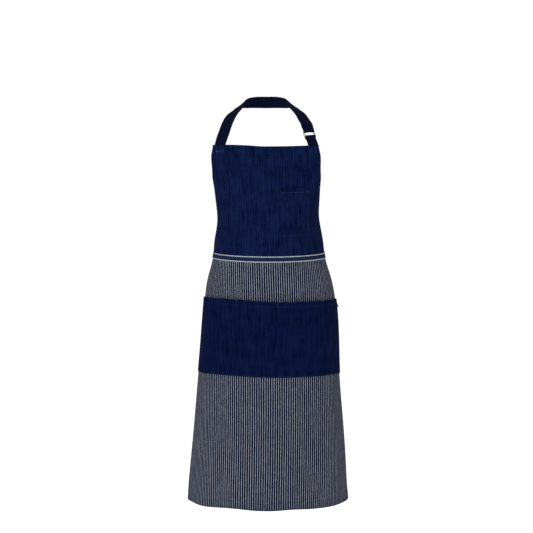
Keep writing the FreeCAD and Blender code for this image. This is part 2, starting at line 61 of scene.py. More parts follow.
# height, half width, depth in front, depth behind, middle of the width
STATIONS = np.array([
    (-80, 174, 88, 84, -3.3),
    (-103, 170, 95, 84, -3.1),
    (-160, 158, 108, 84, -1.4),
    (-213, 144.5, 115, 80, 0.9),
    (-272, 125.2, 111, 77, 2.9),
    (-331, 132.4, 106, 86, 4.2),
    (-378, 138.6, 106, 96, 5.2),
    (-419, 150.1, 106, 107, 6.2),
    (-478, 160, 107, 115, 7.6),
    (-560, 167, 110, 118, 6.7),
    (-657, 173.2, 114, 117, 4.6),
    (-760, 181.2, 124, 117, 4.8),
    (-860, 189.7, 133, 120, 3.7),
    (-969, 199, 143, 125, 2.2),
    (-985, 200.4, 144.5, 126, 2.1),
])


# ---- small curves
def ease(x):
    x = np.clip(x, 0, 1)
    return x * x * (3 - 2 * x)


def mix(a, b, t):
    return a + (b - a) * t


def bump(d, width):
    return np.exp(-((d / width) ** 2))


def hump(x, centre, reach):
    return np.cos(np.minimum(1.0, np.abs(x - centre) / reach) * PI / 2) ** 2


def unit(v):
    v = np.asarray(v, float)
    return v / np.linalg.norm(v, axis=-1, keepdims=True)


def square_to(v, axis):
    return unit(v - axis * np.sum(v * axis, -1, keepdims=True))


def run_length(P):
    """Distance along a line of points, starting at 0."""
    return np.concatenate([[0], np.cumsum(np.linalg.norm(np.diff(P, axis=0), axis=1))])


def at_marks(at, marks, A):
    """The columns of A, given at marks, read off at other places."""
    return np.stack([np.interp(at, marks, A[:, c]) for c in range(A.shape[1])], -1)


# ---- the hanging surface
def spline(x, y):
    """A natural cubic spline through rows y at x, as a function of an array."""
    x = np.asarray(x, float)
    y = np.asarray(y, float)
    n = len(x)
    h = np.diff(x)
    a = np.eye(n)
    b = np.zeros_like(y)
    for i in range(1, n - 1):
        a[i, i - 1] = h[i - 1]
        a[i, i] = 2 * (h[i - 1] + h[i])
        a[i, i + 1] = h[i]
        b[i] = 6 * ((y[i + 1] - y[i]) / h[i] - (y[i] - y[i - 1]) / h[i - 1])
    m = np.linalg.solve(a, b)

    def value(q):
        q = np.asarray(q, float)
        k = np.clip(np.searchsorted(x, q) - 1, 0, n - 2)
        lo = q - x[k]
        hi = x[k + 1] - q
        w = h[k]
        if y.ndim > 1:
            lo, hi, w = lo[..., None], hi[..., None], w[..., None]
        return (m[k] * hi**3 + m[k + 1] * lo**3) / (6 * w) + (y[k] / w - m[k] * w / 6) * hi + (
            y[k + 1] / w - m[k + 1] * w / 6) * lo

    return value


SECTION = spline(-STATIONS[:, 0], STATIONS[:, 1:])
# A table of arc lengths from the centre front, one row for each height and one column for each angle.
TABLE_TOP, TABLE_STEP, TABLE_ROWS, ANGLES = -82.0, 2.0, 450, 360
_z = TABLE_TOP - TABLE_STEP * np.arange(TABLE_ROWS)
_sec = SECTION(-_z)
_mid = (np.arange(ANGLES) + 0.5) * PI / ANGLES
_depth = np.where(_mid[None] < PI / 2, _sec[:, 1:2], _sec[:, 2:3])
_ds = np.hypot(_sec[:, 0:1] * np.cos(_mid), _depth * np.sin(_mid)) * PI / ANGLES
ARC = np.concatenate([np.zeros((TABLE_ROWS, 1)), np.cumsum(_ds, 1)], 1)


def arc_length(angle, z):
    r = np.clip((TABLE_TOP - z) / TABLE_STEP, 0, TABLE_ROWS - 1.001)
    c = np.clip(angle / PI * ANGLES, 0, ANGLES - 1e-6)
    r0, c0 = r.astype(int), c.astype(int)
    fr, fc = r - r0, c - c0
    top = ARC[r0, c0] * (1 - fc) + ARC[r0, c0 + 1] * fc
    low = ARC[r0 + 1, c0] * (1 - fc) + ARC[r0 + 1, c0 + 1] * fc
    return top * (1 - fr) + low * fr


def settle(u, z):
    """How far the cloth has ridden up at this place, against hanging level all round."""
    around = np.minimum(1.0, np.abs(u) / CLOTH_HALF)
    waist = 7.0 * (1 - np.cos(around * PI)) / 2 * hump(z, SEAM_Z, 100.0)
    hip = 6.2 * hump(u, -125.0, 170.0) * ease((-385.0 - z) / 80.0)
    hip = hip * (1 - 0.45 * ease((-500.0 - z) / 150.0)) * (1 - ease((-680.0 - z) / 120.0))
    hip = hip - 3.0 * ease((u - 165.0) / 60.0) * ease((-410.0 - z) / 55.0) * (1 - ease((-660.0 - z) / 110.0))
    low = 3.3 * hump(u, -95.0, 75.0) + 2.4 * hump(u, 60.0, 55.0) + 2.4 * ease((np.abs(u) - 175.0) / 45.0)
    low = low * ease((-850.0 - z) / 110.0)
    top = 2.6 * hump(u, -72.0, 80.0) * ease((z + 200.0) / 80.0)
    return waist + hip + low + top


def surface(u, z):
    """Points and outward normals at arc length u from the centre front and height z."""
    u, z = np.broadcast_arrays(np.asarray(u, float), np.asarray(z, float))
    side = np.where(u >= 0, 1.0, -1.0)
    lo, hi = np.zeros(u.shape), np.full(u.shape, PI)
    for _ in range(26):
        mid = (lo + hi) / 2
        short = arc_length(mid, z) < np.abs(u)
        lo, hi = np.where(short, mid, lo), np.where(short, hi, mid)
    angle = (lo + hi) / 2
    z = z + settle(u, z)
    now = SECTION(-z)
    slope = SECTION(-(z + 0.5)) - SECTION(-(z - 0.5))
    front = angle < PI / 2
    depth = np.where(front, now[..., 1], now[..., 2])
    dslope = np.where(front, slope[..., 1], slope[..., 2])
    half = now[..., 0]
    sin, cos = np.sin(angle), np.cos(angle)
    zero = np.zeros_like(u)
    along = np.stack([side * half * cos, depth * sin, zero], -1)
    rise = np.stack([slope[..., 3] + side * slope[..., 0] * sin, -dslope * cos, zero + 1], -1)
    normal = np.cross(along, rise) * side[..., None]
    normal /= np.linalg.norm(normal, axis=-1, keepdims=True)
    point = np.stack([now[..., 3] + side * half * sin, -depth * cos, z], -1)
    return point, normal


def bib_half(z):
    share = np.clip((BIB_TOP_Z - z) / (BIB_TOP_Z - SEAM_Z), 0, None)
    corner = 8.5 * np.exp(-(((BIB_TOP_Z - z) / 20.0) ** 2))
    swell = 2.5 * np.exp(-(((BIB_TOP_Z - z - 80.0) / 18.0) ** 2))
    return BIB_TOP_HALF + (CLOTH_HALF - BIB_TOP_HALF) * share**4.5 - corner + swell


def bib_drop(z, across):
    """How far the bib's top sags between its corners, fading out down to the waist."""
    t = np.clip((BIB_TOP_Z - z) / (BIB_TOP_Z - SEAM_Z), 0, 1)
    return BIB_TOP_SAG * (1 - across**2) * (1 - t)


# ---- how the cloth ripples
def pucker(d, along, depth=0.28, reach=6.0, wave=6.7):
    """A sewn line draws the cloth in and cockles it beside the stitches."""
    cockle = np.sin(along * 2 * PI / wave + 1.7 * np.sin(along / 23.0)) * (0.6 + 0.4 * np.sin(along / 37.0))
    return -depth * bump(d, 1.1) + 0.5 * depth * cockle * bump(d, reach)


def drape(u, z):
    """The shape every layer shares: slow folds that grow towards the hem, and drag lines towards the ties."""
    low = np.clip((SEAM_Z - z) / (SEAM_Z - HEM_Z), 0, 1)
    skirt = np.sin(u / 21.0 + 0.9 * np.sin(z / 133.0) + 0.7)
    skirt = skirt + 0.7 * np.sin(u / 12.7 + 1.1 * np.sin(z / 88.0 + 1.0) + 2.0)
    skirt = skirt + 0.5 * np.sin(u / 37.0 - z / 260.0)
    out = skirt * (0.10 + 1.05 * low**1.3) * ease(low * 9)
    high = 1 - np.clip((z - SEAM_Z) / (BIB_TOP_Z - SEAM_Z), 0, 1)
    bib = (z > SEAM_Z) * 1.0
    drag = np.sin(np.abs(u) / 11.0 + (z - SEAM_Z) / 17.0 + 0.6 * np.sin(u / 41.0))
    out = out + bib * 0.55 * drag * ease((np.abs(u) - 40) / 90) * ease(high * 1.7 - 0.5) * ease((z - SEAM_Z) / 25)
    out = out + bib * 0.35 * np.sin(u / 9.0 + 0.8 * np.sin(z / 40.0)) * ease((z - SEAM_Z) / 30)
    out = out + 0.25 * np.sin(u / 31.0 + z / 47.0 + 1.3 * np.sin(u / 77.0))
    return out


def spaced(a, b, step, fine=(), fine_step=0.7, reach=4.0):
    """Values from a to b by step, with closer ones near each value in fine."""
    values = list(np.linspace(a, b, max(2, int(abs(b - a) / step) + 1)))
    for f in fine:
        values += list(np.arange(f - reach, f + reach + 1e-6, fine_step))
    low, high = min(a, b), max(a, b)
    values = sorted(v for v in values if low <= v <= high)
    kept = [values[0]]
    for v in values[1:]:
        if v - kept[-1] > 0.45 * fine_step:
            kept.append(v)
    kept[-1] = high
    return np.array(kept)[::1 if b > a else -1]


# ---- meshes
def tube_faces(rows, sides, base=0):
    """The faces of a row of rings of points, with both ends closed."""
    faces = []
    for i in range(rows - 1):
        for j in range(sides):
            a, b = base + i * sides + j, base + i * sides + (j + 1) % sides
            faces.append((a, b, b + sides, a + sides))
    faces.append(tuple(base + j for j in range(sides - 1, -1, -1)))
    faces.append(tuple(base + (rows - 1) * sides + j for j in range(sides)))
    return faces


def linked(name, data):
    obj = bpy.data.objects.new(name, data)
    bpy.context.scene.collection.objects.link(obj)
    return obj


def add_object(name, verts, faces, uvs, material, slot, node=None, body="apron"):
    mesh = bpy.data.meshes.new(name)
    mesh.from_pydata((np.asarray(verts) * 0.001).tolist(), [], faces)
    layer = mesh.uv_layers.new(name="cloth")
    index = np.empty(len(mesh.loops), np.int32)
    mesh.loops.foreach_get("vertex_index", index)
    layer.data.foreach_set("uv", (np.asarray(uvs)[index] * 0.001).astype(np.float32).ravel())
    mesh.polygons.foreach_set("use_smooth", [True] * len(mesh.polygons))
    mesh.materials.append(material)
    mesh.update()
    obj = linked(name, mesh)
    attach(obj, body)
    if node:
        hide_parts(node)
    return obj


def cloth_grid(P, N, UV, thickness):
    """Vertices, faces and UVs of a closed sheet about the grid P, with a rounded edge all round."""
    a, b = P.shape[:2]
    up = np.cross(P[1:, :-1] - P[:-1, :-1], P[:-1, 1:] - P[:-1, :-1])
    flip = np.sum(up * N[:-1, :-1]) < 0
    n = a * b
    idx = np.arange(n).reshape(a, b)
    loop = [(i, 0) for i in range(a)] + [(a - 1, j) for j in range(1, b)]
    loop += [(i, b - 1) for i in range(a - 2, -1, -1)] + [(0, j) for j in range(b - 2, 0, -1)]
    li, lj = np.array(loop).T
    out = np.zeros((len(loop), 3))
    for mask, di, dj in ((li == 0, 1, 0), (li == a - 1, -1, 0), (lj == 0, 0, 1), (lj == b - 1, 0, -1)):
        d = P[li[mask], lj[mask]] - P[li[mask] + di, lj[mask] + dj]
        out[mask] += d / np.maximum(np.linalg.norm(d, axis=1, keepdims=True), 1e-9)
    out /= np.maximum(np.linalg.norm(out, axis=1, keepdims=True), 1e-9)
    half = thickness / 2
    edge, side = P[li, lj], N[li, lj]
    rims = [edge + out * half * 0.75 + side * half * 0.66, edge + out * half,
            edge + out * half * 0.75 - side * half * 0.66]
    verts = np.concatenate([(P + N * half).reshape(-1, 3), (P - N * half).reshape(-1, 3), *rims])
    uvs = np.concatenate([UV.reshape(-1, 2)] * 2 + [UV[li, lj]] * 3)
    quads = np.stack([idx[:-1, :-1], idx[1:, :-1], idx[1:, 1:], idx[:-1, 1:]], -1).reshape(-1, 4)
    faces = [quads, quads[:, [0, 3, 2, 1]] + n]
    rows = [idx[li, lj], *(2 * n + np.arange(3 * len(loop)).reshape(3, -1)), idx[li, lj] + n]
    for r0, r1 in zip(rows, rows[1:]):
        faces.append(np.stack([np.roll(r0, -1), r0, r1, np.roll(r1, -1)], 1))
    faces = np.concatenate(faces)
    if flip:
        faces = faces[:, ::-1]
    return verts, faces.tolist(), uvs


def sheet_object(name, P, N, UV, thickness, material, slot, node):
    return add_object(name, *cloth_grid(P, N, UV, thickness), material, slot, node)


def body_sheet(name, us, zs, offset, thickness, material, slot, node, uv=None):
    """A sheet on the hanging surface. us is one row of arc lengths or a grid; offset(u, z) is its standoff."""
    U, Z = np.broadcast_arrays(us[:, None] if us.ndim == 1 else us, zs)
    P, N = surface(U, Z)
    P = P + N * (drape(U, Z) + offset(U, Z))[..., None]
    UV = np.stack([U, Z], -1) if uv is None else uv
    return sheet_object(name, P, N, UV, thickness, material, slot, node)


def seam(us, zs, offset, lift=CLOTH / 2):
    """A sewn line on the hanging surface, as points and normals. offset is that of the cloth it lies on."""
    us, zs = np.broadcast_arrays(np.asarray(us, float), np.asarray(zs, float))
    P, N = surface(us, zs)
    return P + N * (drape(us, zs) + (offset(us, zs) + lift))[..., None], N


def under(offset):
    """The standoff of a turned edge, one layer behind its cloth."""
    return lambda u, z: offset(u, z) - LAYER


def line(a, b):
    """Points about 2 mm apart on a straight line."""
    a, b = np.asarray(a, float), np.asarray(b, float)
    n = max(3, int(np.linalg.norm(b - a) / 2.0) + 1)
    t = np.linspace(0, 1, n)[:, None]
    return a + (b - a) * t


def thread_object(name, runs, material, node=None, pitch=3.1, length=2.5, radius=0.24):
    """Raised stitches along each run of (points, normals), each one a short tapered tube."""
    verts, faces, uvs = [], [], []
    rings, sides = 5, 6
    taper = np.array([0.55, 0.92, 1.0, 0.92, 0.55])
    rise = np.array([-0.55, 0.35, 0.65, 0.35, -0.55])
    tau = np.linspace(-0.5, 0.5, rings)
    turn = (np.arange(sides) * 2 * PI / sides)[:, None]
    for P, N in runs:
        L = run_length(P)
        k = max(1, int(round(L[-1] / pitch)))
        long = min(length, L[-1] / k * 0.92)
        centres = (np.arange(k) + 0.5) * L[-1] / k + rng.uniform(-0.12, 0.12, k)
        at = np.clip(centres[:, None] + tau * long, 0, L[-1])
        t = unit(at_marks(at, L, np.gradient(P, axis=0)))
        n = square_to(at_marks(at, L, N), t)
        s = np.cross(t, n)
        p = at_marks(at, L, P) + n * (rise * radius)[:, None]
        r = (taper * radius)[:, None, None]
        ring = p[:, :, None] + r * (n[:, :, None] * np.cos(turn) + s[:, :, None] * np.sin(turn))
        verts.append(ring.reshape(-1, 3))
        uvs.append(np.repeat(np.stack([at, at * 0], -1).reshape(-1, 2), sides, 0))
    verts = np.concatenate(verts)
    for base in range(0, len(verts), rings * sides):
        faces += tube_faces(rings, sides, base)
    return add_object(name, verts, faces, np.concatenate(uvs), material, "thread", node)


def bar_tack(name, node, u, z, wide, tall, offset, radius):
    """A bar tack's short parallel threads, 0.5 mm apart."""
    runs = []
    for x in np.arange(u - wide / 2, u + wide / 2, 0.5):
        lean = rng.uniform(-0.12, 0.12)
        heights = np.linspace(z + tall / 2 + lean, z - tall / 2 + lean, 5)
        runs.append(seam(np.linspace(x, x + 0.25, 5), heights, offset))
    return thread_object(name, runs, DARK_THREAD, node, pitch=9, length=9, radius=radius)


# ---- materials
class Shader:
    """A small helper that builds one procedural material."""

    def __init__(self, name):
        self.material = bpy.data.materials.new(name)
        self.material.use_nodes = True
        self.tree = self.material.node_tree
        self.tree.nodes.clear()
        self.bsdf = self.node("BsdfPrincipled")
        self.join(self.bsdf.outputs[0], self.node("OutputMaterial").inputs[0])

    def node(self, kind):
        return self.tree.nodes.new("ShaderNode" + kind)

    def join(self, a, b):
        self.tree.links.new(a, b)

    def put(self, socket, value):
        if isinstance(value, bpy.types.NodeSocket):
            self.join(value, socket)
        else:
            socket.default_value = value

    def math(self, kind, a, b=None, clamp=False):
        node = self.node("Math")
        node.operation = kind
        node.use_clamp = clamp
        self.put(node.inputs[0], a)
        if b is not None:
            self.put(node.inputs[1], b)
        return node.outputs[0]

    def scaled(self, value, by):
        return value if by == 1 else self.math("MULTIPLY", value, by)

    def total(self, first, *others, clamp=False):
        """The sum of (value, weight) pairs."""
        out = self.scaled(*first)
        for pair in others:
            out = self.math("ADD", out, self.scaled(*pair), clamp and pair is others[-1])
        return out

    def blend(self, share, a, b):
        node = self.node("Mix")
        node.data_type = "RGBA"
        self.put(node.inputs[0], share)
        for socket, colour in ((node.inputs[6], a), (node.inputs[7], b)):
            self.put(socket, colour if isinstance(colour, bpy.types.NodeSocket) else (*colour, 1))
        return node.outputs[2]

    def range(self, value, low, high, to_low=0.0, to_high=1.0):
        node = self.node("MapRange")
        node.interpolation_type = "SMOOTHSTEP"
        for socket, v in zip(node.inputs[:5], (value, low, high, to_low, to_high)):
            self.put(socket, v)
        return node.outputs[0]

    def split(self, vector):
        node = self.node("SeparateXYZ")
        self.join(vector, node.inputs[0])
        return node.outputs

    def cloth_uv(self):
        """The cloth's own coordinates in millimetres."""
        node = self.node("UVMap")
        node.uv_map = "cloth"
        x, y, _ = self.split(node.outputs[0])
        return self.scaled(x, 1000.0), self.scaled(y, 1000.0)

    def place(self):
        """The piece's own coordinates in metres."""
        return self.node("TexCoord").outputs["Object"]

    def solid_noise(self, vector, scale, detail=2.0, rough=0.5):
        node = self.node("TexNoise")
        for word, v in (("Scale", scale), ("Detail", detail), ("Roughness", rough), ("Vector", vector)):
            self.put(node.inputs[word], v)
        return node.outputs[0]

    def noise(self, x, y, sx, sy, detail=3.0, rough=0.55, shift=0.0):
        node = self.node("CombineXYZ")
        for socket, v in zip(node.inputs, (self.scaled(x, sx), self.scaled(y, sy), shift)):
            self.put(socket, v)
        return self.solid_noise(node.outputs[0], 1.0, detail, rough)

    def wave(self, x, period):
        return self.math("SINE", self.scaled(x, 2 * PI / period))

    def bump(self, height, strength, distance):
        node = self.node("Bump")
        for word, v in (("Strength", strength), ("Distance", distance), ("Height", height)):
            self.put(node.inputs[word], v)
        self.join(node.outputs[0], self.bsdf.inputs["Normal"])

    def finish(self, colour, roughness, sheen=0.0, tint=(1, 1, 1), metallic=0.0, specular=0.3):
        values = {"Base Color": colour, "Roughness": roughness, "Metallic": metallic, "Specular IOR Level": specular,
                  "Sheen Weight": sheen, "Sheen Roughness": 0.5, "Sheen Tint": (*tint, 1)}
        for word, v in values.items():
            self.put(self.bsdf.inputs[word], v)
        return self.material


def twill_height(s, u, v, size, other, share):
    """Diagonal ribs crossed by the yarns, with another height laid over them."""
    rib = s.wave(s.math("ADD", u, v), size)
    yarn = s.wave(v, size * 0.62)
    fuzz = s.noise(u, v, 2.3, 2.3, 2.0)
    s.bump(s.total((fuzz, 1), (yarn, 0.22), (rib, 0.5), (other, share)), 0.45, 0.00022)


def navy_cloth(name, dark, light, shift):
    s = Shader(name)
    u, v = s.cloth_uv()
    slub = s.noise(u, v, 0.40, 0.013, 4.0, 0.62, shift)
    thin = s.noise(u, v, 2.0, 0.03, 2.0, 0.5, shift + 3)
    broad = s.noise(u, v, 0.045, 0.028, 4.0, 0.65, shift + 7)
    cross = s.noise(u, v, 0.02, 0.9, 3.0, 0.6, shift + 11)
    mixed = s.range(s.total((slub, 0.52), (thin, 0.20), (broad, 0.26), (cross, 0.08)), 0.425, 0.61)
    share = s.total((mixed, 1), (s.wave(s.math("ADD", u, v), 1.15), 0.10), clamp=True)
    twill_height(s, u, v, 1.15, slub, 1.6)
    rough = s.range(thin, 0.3, 0.7, 0.80, 0.96)
    return s.finish(s.blend(share, dark, light), rough, 0.008, (0.35, 0.45, 0.9), specular=0.01)


def striped_cloth(name):
    """Pale stripes 5.5 mm apart on navy, a little uneven, with painted shade darkening the turned hem, most in the
    lowest 7 mm.
    """
    s = Shader(name)
    u, v = s.cloth_uv()
    wander = s.noise(u, v, 0.05, 0.012, 2.0, 0.5, 2.0)
    jitter = s.noise(u, v, 0.17, 0.008, 2.0, 0.5, 6.0)
    moved = s.math("ADD", u, s.total((wander, 1.6), (jitter, 1.3)))
    phase = s.math("FRACT", s.math("DIVIDE", moved, 5.5))
    away = s.math("ABSOLUTE", s.math("SUBTRACT", phase, 0.5))
    fray = s.math("SUBTRACT", s.noise(u, v, 1.4, 0.9, 2.0, 0.6, 5.0), 0.5)
    stripe = s.range(s.total((away, 1), (fray, 0.036)), 0.112, 0.066)
    pick = s.range(s.wave(s.total((v, 1), (u, 0.8)), 1.05), -1.0, 0.4, 0.62, 1.0)
    stripe = s.math("MULTIPLY", stripe, pick)
    yarn = s.noise(u, v, 0.9, 0.03, 3.0, 0.6, 9.0)
    soil = s.noise(u, v, 0.5, 0.08, 3.0, 0.6, 13.0)
    navy = s.blend(s.range(yarn, 0.35, 0.65), (0.0016, 0.0028, 0.011), (0.0042, 0.0072, 0.026))
    white = s.blend(s.range(soil, 0.3, 0.7), (0.245, 0.262, 0.305), (0.40, 0.43, 0.485))
    # Painted shade of the folded hem: the colour is drawn towards a dark navy, most within 7 mm of the bottom edge
    # and more faintly up to 17 mm above it.
    edge, turned = s.range(v, HEM_Z + 3, HEM_Z + 7, 0.24, 0.0), s.range(v, HEM_Z + 12, HEM_Z + 17, 0.09, 0.0)
    colour = s.blend(s.math("ADD", edge, turned), s.blend(stripe, navy, white), (0.0025, 0.0045, 0.018))
    twill_height(s, u, v, 1.05, stripe, 0.7)
    return s.finish(colour, s.range(yarn, 0.3, 0.7, 0.82, 0.96), 0.01, (0.7, 0.75, 0.9), specular=0.04)


def webbing_cloth(name, dark, light, across=3.2):
    """Herringbone webbing: u runs across the tape and v along it."""
    s = Shader(name)
    u, v = s.cloth_uv()
    rib = s.wave(s.total((v, 1), (s.math("PINGPONG", u, across), 0.9)), 1.3)
    slub = s.noise(u, v, 1.1, 0.06, 3.0, 0.6, 4.0)
    fleck = s.range(s.noise(u, v, 0.27, 0.27, 4.0, 0.7, 15.0), 0.40, 0.64)
    share = s.total((s.range(slub, 0.3, 0.7), 0.35), (fleck, 0.48), (rib, 0.15), clamp=True)
    s.bump(s.total((rib, 1), (s.noise(u, v, 2.2, 2.2, 2.0), 0.8)), 0.5, 0.00025)
    rough = s.range(slub, 0.3, 0.7, 0.78, 0.95)
    return s.finish(s.blend(share, dark, light), rough, 0.01, (0.4, 0.5, 0.9), specular=0.04)


def white_cord(name):
    s = Shader(name)
    u, v = s.cloth_uv()
    pick = s.wave(s.total((u, 1), (v, 0.7)), 1.6)
    soil = s.noise(u, v, 0.35, 0.6, 3.0, 0.6, 1.0)
    share = s.total((s.range(soil, 0.3, 0.7), 1), (pick, 0.25), clamp=True)
    s.bump(pick, 0.6, 0.0003)
    colour = s.blend(share, (0.22, 0.23, 0.26), (0.40, 0.41, 0.43))
    return s.finish(colour, s.range(soil, 0.3, 0.7, 0.75, 0.92), specular=0.2)


def thread_shader(name, dark, light, pale=None, below=0.0):
    """Twisted thread, with an optional paler colour below a height in metres."""
    s = Shader(name)
    u, v = s.cloth_uv()
    twist = s.wave(u, 0.55)
    grain = s.noise(u, v, 0.7, 0.7, 2.0)
    s.bump(twist, 0.5, 0.00008)
    colour = s.blend(s.total((s.range(grain, 0.35, 0.65), 1), (twist, 0.2), clamp=True), dark, light)
    if pale:
        height = s.split(s.place())[2]
        colour = s.blend(s.range(height, below, below + 0.0008, 1.0, 0.0), colour, pale)
    return s.finish(colour, s.range(grain, 0.3, 0.7, 0.6, 0.8), specular=0.06)


def nickel(name):
    s = Shader(name)
    place = s.place()
    wear = s.solid_noise(place, 120.0)
    s.bump(s.solid_noise(place, 900.0, 4.0), 0.15, 0.00003)
    colour = s.blend(s.range(wear, 0.35, 0.65), (0.045, 0.043, 0.033), (0.10, 0.096, 0.079))
    return s.finish(colour, s.range(wear, 0.3, 0.7, 0.18, 0.36), metallic=1.0, specular=0.5)


NAVY = navy_cloth("navy_twill", (0.0003, 0.0017, 0.0142), (0.0043, 0.0098, 0.0435), 0.0)
NAVY_POCKET = navy_cloth("navy_twill_pocket", (0.0006, 0.0018, 0.0133), (0.0029, 0.0068, 0.0352), 21.0)
STRIPES = striped_cloth("striped_twill")
WEB = webbing_cloth("navy_webbing", (0.0001, 0.0005, 0.0040), (0.0030, 0.0062, 0.0330))
TAPE = webbing_cloth("waist_tape_weave", (0.0030, 0.0062, 0.0280), (0.0090, 0.0155, 0.0560), 2.4)
CORD = white_cord("white_selvedge")
THREAD_TONES = (0.006, 0.011, 0.040), (0.016, 0.026, 0.085)
NAVY_THREAD = thread_shader("navy_thread", *THREAD_TONES)
WORN_THREAD = thread_shader("worn_thread", *THREAD_TONES, (0.075, 0.115, 0.260), -0.1124)
PALE_THREAD = thread_shader("pale_thread", (0.022, 0.040, 0.115), (0.050, 0.080, 0.185))
DARK_THREAD = thread_shader("dark_thread", (0.0006, 0.0012, 0.0016), (0.0016, 0.0030, 0.0036))
TAB = webbing_cloth("blank_tab", (0.0015, 0.0018, 0.0030), (0.0045, 0.0050, 0.0080), 1.5)
METAL = nickel("polished_nickel")


# ---- bib
def bib_ripple(u, z):
    half = bib_half(z)
    top = z + bib_drop(z, u / half) - BIB_TOP_Z
    return pucker(top + BIB_STITCH, u) + pucker(half - np.abs(u) - EDGE_STITCH, z, 0.22) * ease((z - SEAM_Z) / 20)


def bib_sheet(name, zs, shares, offset, node):
    """A sheet whose top follows the bib's sag. shares run from -1 to 1 across the bib."""
    S, Z = np.meshgrid(shares, zs, indexing="ij")
    return body_sheet(name, bib_half(Z) * S, Z - bib_drop(Z, S), offset, CLOTH, NAVY, "bib_cloth", node)


stitch_z = BIB_TOP_Z - BIB_STITCH
shares = np.sin(np.linspace(-1, 1, 191) * PI / 2 * 0.86) / math.sin(PI / 2 * 0.86)
zs = spaced(BIB_TOP_Z, SEAM_Z + 0.4, 3.2, (stitch_z,), 0.8, 3.2)
bib = bib_sheet("bib_cloth", zs, shares, bib_ripple, "bib_panel")
zs = spaced(BIB_TOP_Z - 0.2, BIB_TOP_Z - 20.0, 2.0, (stitch_z,), 0.8, 3.0)
top_hem = bib_sheet("bib_top_fold", zs, np.linspace(-0.997, 0.997, 131), under(bib_ripple), "bib_top_hem")
zs = spaced(BIB_TOP_Z - 20.6, SEAM_Z + 9.0, 3.0)
us = bib_half(zs) - np.array([0.3, 2.0, 4.5, 7.0, 8.6, 10.0, 11.2, 12.0])[:, None]
edge_folds = [body_sheet("bib_edge_fold_" + word, side * us, zs, under(bib_ripple), CLOTH, NAVY, "bib_cloth",
                         "bib_edge_hem_" + word) for side, word in SIDES]


# ---- chest pocket
def chest_rise(u, z):
    """The pocket hangs a little higher at its right end."""
    p = CHEST
    up = np.clip((z - p.bottom) / (p.top - p.bottom), 0, 1)
    return 2.4 * ease((u - p.left) / (p.right - p.left)) * up


def chest_offset(u, z):
    p = CHEST
    z = z - chest_rise(u, z)
    left, right, low = u - p.left, p.right - u, z - p.bottom
    sewn = bump(np.maximum(np.minimum(np.minimum(left, right), low) - p.inset, 0), 6.0)
    belly = 0.9 * np.sin(np.clip(left / (p.right - p.left), 0, 1) * PI) * ease(low / 90)
    out = STANDOFF - 0.45 * sewn + belly
    for d, along in ((left, z), (right, z), (low, u)):
        out = out + pucker(d - p.inset, along, 0.16, 4.0)
    return out + pucker(p.top - p.stitch - z, u, 0.2, 4.0)


def chest_sheet(name, us, zs, offset, thickness, node):
    U, Z = np.meshgrid(us, zs, indexing="ij")
    return body_sheet(name, U, Z + chest_rise(U, Z), offset, thickness, NAVY, "bib_cloth", node)


def pocket_spacing(p, across, down, fine):
    """Values across and down a pocket, closer together at its sewn lines."""
    seams_u = (p.left + p.inset, p.right - p.inset)
    seams_z = (p.top - p.stitch, p.bottom + p.inset)
    return spaced(p.left, p.right, across, seams_u, *fine), spaced(p.top, p.bottom, down, seams_z, 0.8, 2.4)


p = CHEST
us, zs = pocket_spacing(p, 2.4, 2.6, (0.8, 2.4))
chest = chest_sheet("chest_pocket_cloth", us, zs, chest_offset, CLOTH, "chest_pocket")
us, zs = spaced(p.left + 0.8, p.right - 0.8, 2.4), spaced(p.top - 0.2, p.top - p.hem, 1.2)
chest_fold = chest_sheet("chest_pocket_fold", us, zs, under(chest_offset), TURNED_CLOTH, "chest_pocket_hem")


# ---- waist tape
def tape_offset(u, z):
    return TAPE_LIFT + pucker(z - TAPE_STITCH_Z, u, 0.2, 3.0, 5.1)


us, zs = spaced(-CLOTH_HALF, CLOTH_HALF, 2.2), np.linspace(BAND_TOP_Z, BAND_LOW_Z, 15)
tape = body_sheet("waist_tape_band", us, zs, tape_offset, CLOTH, TAPE, "tape_band", "waist_tape",
                  uv=np.stack(np.broadcast_arrays(zs[None], us[:, None]), -1))
us = spaced(-CLOTH_HALF, CLOTH_HALF, 0.8)
for word, top in (("upper", TAPE_TOP_Z), ("lower", BAND_LOW_Z)):
    def round_top(u, z):
        swell = np.sqrt(np.clip(1 - ((z - top + TAPE_EDGE / 2) / 1.0) ** 2, 0, 1))
        return TAPE_LIFT + 0.35 * swell + 0.10 * np.sin(u * 2 * PI / 3.2)

    body_sheet(
        "waist_tape_selvedge_" + word, us, np.linspace(top, top - TAPE_EDGE, 6), round_top, 0.8, CORD,
        "tape_edge", "waist_tape_" + word + "_edge")


# ---- skirt
def skirt_ripple(u, z):
    out = pucker(z - (HEM_Z + HEM_STITCH), u, 0.30, 7.0, 7.3)
    out = out + pucker(CLOTH_HALF - np.abs(u) - EDGE_STITCH, z, 0.25)
    return out + 1.6 * bump(z - HEM_Z, 26.0) * np.sin(u / 33.0 + 0.6)


def skirt_sheet(name, us, zs, offset, node):
    return body_sheet(name, us, zs, offset, CLOTH, STRIPES, "skirt_cloth", node)


us = spaced(-CLOTH_HALF, CLOTH_HALF, 3.2, (-CLOTH_HALF + EDGE_STITCH, CLOTH_HALF - EDGE_STITCH), 0.9, 2.7)
zs = spaced(SEAM_Z - 0.4, HEM_Z, 4.2, (HEM_Z + HEM_STITCH,), 0.8, 3.2)
skirt = skirt_sheet("skirt_cloth", us, zs, skirt_ripple, "skirt_panel")
zs = spaced(HEM_Z + 20.0, HEM_Z + 0.2, 1.6)
hem_fold = skirt_sheet("skirt_bottom_fold", us, zs, under(skirt_ripple), "skirt_bottom_hem")
us, zs = np.array([330.0, 327.5, 324.0, 321.8, 320.6, 319.4, 318.0]), spaced(SEAM_Z - 0.6, HEM_Z + 20.5, 4.2)
side_folds = [skirt_sheet("skirt_side_fold_" + word, side * us, zs, under(skirt_ripple), "skirt_side_hem_" + word)
              for side, word in SIDES]


